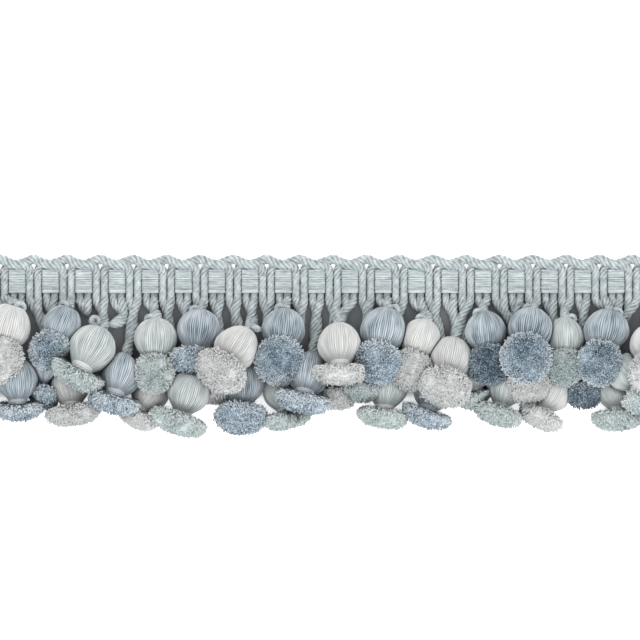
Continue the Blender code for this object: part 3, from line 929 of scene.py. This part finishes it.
def windHead(cloth, stance, rng, limits, number):
    make, size, spread = headMake, stance.size, yarnLooks[stance.yarn]["spread"]
    fuller = make["fuller"].get(number, make["otherwise"] * math.sin(2.4 * number))
    back = -make["profile"][0][0]
    knots = [(s + fuller * math.cos(math.pi / 2 * s / back), r, 0.0) for s, r in make["profile"]]
    profile = smoothRun(knots, make["step"])
    columns = len(make["columns"])
    sides = make["yarns"] * columns
    yarn, valley = np.arange(sides) // columns, np.arange(sides) % columns == 0
    turns = (yarn + np.tile(make["columns"], make["yarns"])) * 2 * math.pi / make["yarns"]
    gaps = rng.random(make["yarns"])[yarn] > make["gapsFrom"]
    valleys = make["valley"] - make["gap"] * gaps * rng.uniform(0.4, 1.0, sides)
    ridge = np.where(valley, valleys, make["shoulder"])
    lumps = wavesRound(rng, turns, 4, 5) * make["lumps"]
    middle = np.sin(np.linspace(0, math.pi, len(profile)))[:, None]
    angles = turns[None] + wavesRound(rng, turns, 6, 9)[None] * make["wander"] * middle
    reach = profile[:, 1:2] * (1 + lumps[None] + make["ridge"] * ridge[None])
    along = profile[:, 0][:, None, None] * stance.along
    points = stance.middle + size * (along + around(angles, stance.across, stance.up, reach))
    differ = make["differ"] * rng.normal(size=make["yarns"])[yarn]
    shade = make["tint"] + (differ + make["drift"] * wavesRound(rng, turns, 5, 7)) * spread
    # painted shade in the valleys between yarns
    shade = shade - valley * (make["valleyShade"][1] * spread + make["valleyShade"][0])
    cloth.tubes(pressed(points, limits)[None], np.broadcast_to(shade, points.shape[:2])[None], coat=0)


def bindNeck(cloth, stance, rng, limits):
    make, size = tieMake, stance.size
    turns = evenTurns(make["columns"])
    shortened = make["shortened"] if abs(stance.cock) > make["folded"] else 1.0
    rings, tints = [], []
    for t in np.linspace(0, 1, make["winds"] * 4 + 1):
        station = make["start"] + (make["end"] - make["start"]) * t
        place, ahead, up = stance.turned(stance.cock * t)
        top = abs(math.sin(math.pi * make["winds"] * t))
        radius = make["radius"] * (1 + make["swell"] * (top**0.6 - 0.6))
        radius *= 1.0 if 0 < t < 1 else make["closed"]
        centre = place + ahead * station * size * shortened
        rings.append(centre + radius * size * around(turns, stance.across, up))
        # painted highlight on each wind's crest and painted shade between winds
        tint = make["tint"] + make["top"] * top + make["differ"] * rng.normal()
        tints.append(np.full(make["columns"], tint))
    cloth.tubes(pressed(np.array(rings), limits)[None], np.array(tints)[None], coat=1)


def tuftPlace(stance, polar, turn):
    # a place on the tuft's outside, by its angle from the tuft's middle line and the turn round it
    angles, stations, widths = np.array(tuftMake["core"]).T
    place, ahead, up = stance.turned(stance.cock)
    station = np.interp(polar, angles, stations) * stance.size
    reach = np.interp(polar, angles, widths) * stance.tuft / 2
    return place + station[..., None] * ahead + around(turn, stance.across, up, reach)


def tuftCore(cloth, stance, rng, limits, root, spread, deep):
    make = tuftMake
    polar = np.degrees(np.arccos(np.clip(ballPoints[:, 2], -1, 1)))
    turn = np.arctan2(ballPoints[:, 1], ballPoints[:, 0])
    points = tuftPlace(stance, polar, turn)
    lumps = 1 + make["lumps"] * wavesRound(rng, turn, 5, 6) * np.sin(np.radians(np.minimum(polar, 90)))
    points = root + (points - root) * lumps[:, None]
    # it is smooth at the neck, and its back is deeper than its face. Painted shade: its back is darker
    # than its face, its lumps are darker where they sink in and lighter where they stand out, and its face
    # is darker in the middle than towards the rim
    rough = rng.normal(0, make["rough"], len(points)) * np.maximum(grown(polar, 165, 125), 0.1)
    behind = grown(polar, 80, 90)
    sunk = make["sunk"] * behind * grown(polar, 150, 140)
    shade = 0.3 + (0.1 * rough / make["rough"] + 0.1 * grown(polar, 0, 90)) * spread
    shade = shade - 0.2 * behind * (0.4 + 0.6 * spread) - deep
    points = points + unit(points - root) * (rough - make["sunk"] - sunk)[:, None]
    cloth.shape(pressed(stance.clear(points), limits), ballFaces, shade, coat=2)


def strandLines(stance, rng, root, kind):
    # where strands start and end, how far out they end and their angles from the middle line
    make, count, skirt = tuftMake, tuftMake[kind], kind == "skirt"
    place, ahead, _ = stance.turned(stance.cock)
    if skirt:
        polar = rng.uniform(*make["rim"], count)
    else:
        polar = np.degrees(np.arccos(rng.uniform(math.cos(math.radians(make["faceEdge"])), 1, count)))
    turn = rng.uniform(0, 2 * math.pi, count)
    if skirt:  # they gather in clumps with creases between them
        clump = rng.integers(0, make["clumps"], count) + rng.normal(0, make["astray"], count)
        turn = clump * 2 * math.pi / make["clumps"]
    ends = tuftPlace(stance, polar, turn)
    outward = unit(ends - root)
    far = rng.uniform(0.0, 1.0, count) ** 1.3
    ends = ends + outward * (far * make["reach"] - make["inside"][kind])[:, None]
    ends = ends + rng.normal(0, make["stray"], (count, 3))
    if skirt:  # they run along the outside from the neck to the rim
        ends = ends - ahead * rng.uniform(0, 1.0, (count, 1))
        starts = tuftPlace(stance, rng.uniform(*make["neck"], count), turn) + 0.2 * outward
    else:  # they fan out from inside the tuft, the outer ones more, and none begins behind the neck
        lay = grown(polar, 0, make["faceEdge"])[:, None] ** 2 * rng.uniform(0, 1, (count, 1))
        ways = unit(outward * (0.25 + 0.75 * lay) + ahead * (1 - lay))
        long = ((ends - place) @ ahead + 0.5) / np.maximum(ways @ ahead, 0.1)
        starts = ends - np.clip(long, make["shortest"], make["long"])[:, None] * ways
    return starts, ends, far, polar


def cutTuft(cloth, stance, rng, limits, number):
    make, spread, deep = tuftMake, yarnLooks[stance.yarn]["spread"], tuftMake["deep"].get(number, 0.0)
    place, ahead, _ = stance.turned(stance.cock)
    root = place + ahead * 1.0
    tuftCore(cloth, stance, rng, limits, root, spread, deep)
    # a strand is a spike from its root to its cut end
    spike = np.array(((1, 2, 3), (0, 2, 1), (0, 3, 2), (0, 1, 3)))
    for kind in ("face", "skirt"):
        starts, ends, far, polar = strandLines(stance, rng, root, kind)
        count = len(starts)
        ways = unit(ends - starts)
        first = unit(np.cross(ways, unit(rng.normal(size=(count, 3)))))
        second = np.cross(ways, first)
        spokes = around(evenTurns(3), first[:, None], second[:, None])
        # painted light and shade: a strand is lighter the farther out it reaches and towards the rim, and
        # darker at its root inside the tuft
        tint = 0.15 * rng.normal(size=count) + 0.16 * (far - 0.5) + 0.4 * (polar / 90) ** 2
        tint = 0.4 + tint * spread - deep
        loose = rng.uniform(0, make["loose"], (count, 1))
        strandLimits = [limits[0]] + [(direction, reach + loose) for direction, reach in limits[1:]]
        points = np.concatenate([starts[:, None], ends[:, None] + make["thick"] * spokes], 1)
        points = pressed(stance.clear(points), strandLimits)
        faces = (np.arange(count)[:, None, None] * 4 + spike).reshape(-1, 3)
        endTints = np.array((make["rootShade"][kind], *[make["tips"]] * 3)) * (0.4 + 0.6 * spread)
        cloth.shape(points, faces, tint[:, None] + endTints, coat=2)


# The end of each tassel's inner cord, a small loop that stands on the crown
loopMake = {
    "radius": 1.75, "usual": (1.15, -35, 215, 1.0), "aside": 2.7, "above": 0.2, "crown": 9.3,
    "fewest": 0.2,  # share of the crowns without one
    "knots": 18, "step": 0.7,
    # tassel: radius, thickness, first and last turn, how the radius closes, aside and above. Usual is
    # the middle four of these.
    "odd": {37: (2.1, 0.95, -60, 400, 0.45, 4.2, 2.6), 38: (1.5, 1.9, 10, 150, 1.0, -2.4, 1.6)},
}


def crownLoop(cloth, stance, rng, number):
    make, odd = loopMake, loopMake["odd"].get(number)
    skipped, side = rng.random(), rng.choice((-1, 1))
    tilt, lean = rng.uniform(-0.6, 0.6), rng.uniform(0.1, 0.7)
    if (skipped < make["fewest"] and not odd) or not stance.upper:
        return
    usual = (make["radius"] * stance.size, *make["usual"], make["aside"] * side, make["above"])
    radius, thick, begin, end, closing, besides, above = odd or usual
    away = unit(-stance.along + lean * stance.up)
    aside = stance.across * math.cos(tilt) + stance.up * math.sin(tilt)
    crown = stance.middle - stance.along * make["crown"] * stance.size
    centre = crown + stance.across * besides + away * above
    radii = radius * np.linspace(1, closing, make["knots"])[:, None]
    spokes = around(np.radians(np.linspace(begin, end, make["knots"])), aside, away)
    line = smoothRun(centre + radii * spokes, make["step"])
    rings, tint = cordRings(line, np.full(len(line), thick * stance.size))
    cloth.tubes(rings[None], tint[None])


finishes = {yarn: [woundFinish(yarn), boundFinish(yarn), cutFinish(yarn)] for yarn in yarnLooks}
for number, stance in enumerate(stances, 1):
    rng = np.random.default_rng(seeds["tassels"] + number)
    headLimits, tuftLimits = planes[2 * number - 2 : 2 * number]
    cloth = Cloth(f"tassel_{number:02d}_yarns")
    windHead(cloth, stance, rng, headLimits, number)
    bindNeck(cloth, stance, rng, headLimits + tuftLimits)
    cutTuft(cloth, stance, rng, tuftLimits, number)
    cloth.finish(finishes[stance.yarn], stance.yarn, f"tassel_{number:02d}")
loopCloth = Cloth("crown_loops")
for number, stance in enumerate(stances, 1):
    crownLoop(loopCloth, stance, np.random.default_rng(seeds["loops"] + number), number)
loops = loopCloth.finish([cordMaterial], "cord")
print("tassels made:", len(stances), "and their loops:", len(loops.data.polygons))

# Stage: a pale floor that glows, which is painted light, with a painted shadow under the bullions, one
# large soft light from below the tassels and a pale room
stageMake = {
    # glow is painted light: the floor gives off light of its own, which lifts the shadows on it and lights
    # the tassels from beneath
    "floor": 6.0, "paint": paint(252, 252, 252), "glow": 0.5,
    # painted shadow: the floor is darker right under the bullions, and gives off no glow there
    "shadowStrip": (-50.0, -3.0), "shadowStripInside": 2.0,  # the floor is darker right under the bullions
    "shade": paint(155, 158, 160),
    "key": 12.0, "keySize": 1.8, "keyPlace": (0.2, -0.9, 1.6), "keyTurn": (29, 6, 0),
    "room": 1.0, "gamma": 0.82, "exposure": 0.32,
}
bpy.ops.mesh.primitive_plane_add(size=stageMake["floor"], location=(0, 0, 0))
floor = bpy.context.object
floor.name = "floor"
finish = Finish("glowing_pale_floor_painted_shadow", Roughness=0.9, Emission_Strength=stageMake["glow"])
x, y = [finish.part(finish.place(), axis) * 1000 for axis in (0, 1)]
low, high = stageMake["shadowStrip"]
# painted shadow: a soft-edged strip under the bullions, darker and not glowing
shadowStrip = ((high - y) * 0.5).held() * ((y - low) * 0.25).held()
shadowStrip = shadowStrip * ((pairX(last) - stageMake["shadowStripInside"] - x.absolute()) * 0.2).held()
finish.feed("Base Color", finish.mix(shadowStrip, stageMake["paint"], stageMake["shade"]))
finish.feed("Emission Color", finish.mix(shadowStrip, stageMake["paint"], paint(0, 0, 0)))
floor.data.materials.append(finish.material)
key = bpy.data.lights.new("key", "AREA")
key.energy, key.size = stageMake["key"], stageMake["keySize"]
lamp = bpy.data.objects.new("key", key)
lamp.location = stageMake["keyPlace"]
lamp.rotation_euler = [math.radians(turn) for turn in stageMake["keyTurn"]]
bpy.context.scene.collection.objects.link(lamp)
world = bpy.data.worlds.new("room")
world.use_nodes = True
background = world.node_tree.nodes["Background"]
background.inputs["Color"].default_value = (1.0, 1.0, 1.0, 1.0)
background.inputs["Strength"].default_value = stageMake["room"]
bpy.context.scene.world = world
view = bpy.context.scene.view_settings
view.view_transform, view.gamma, view.exposure = "Standard", stageMake["gamma"], stageMake["exposure"]
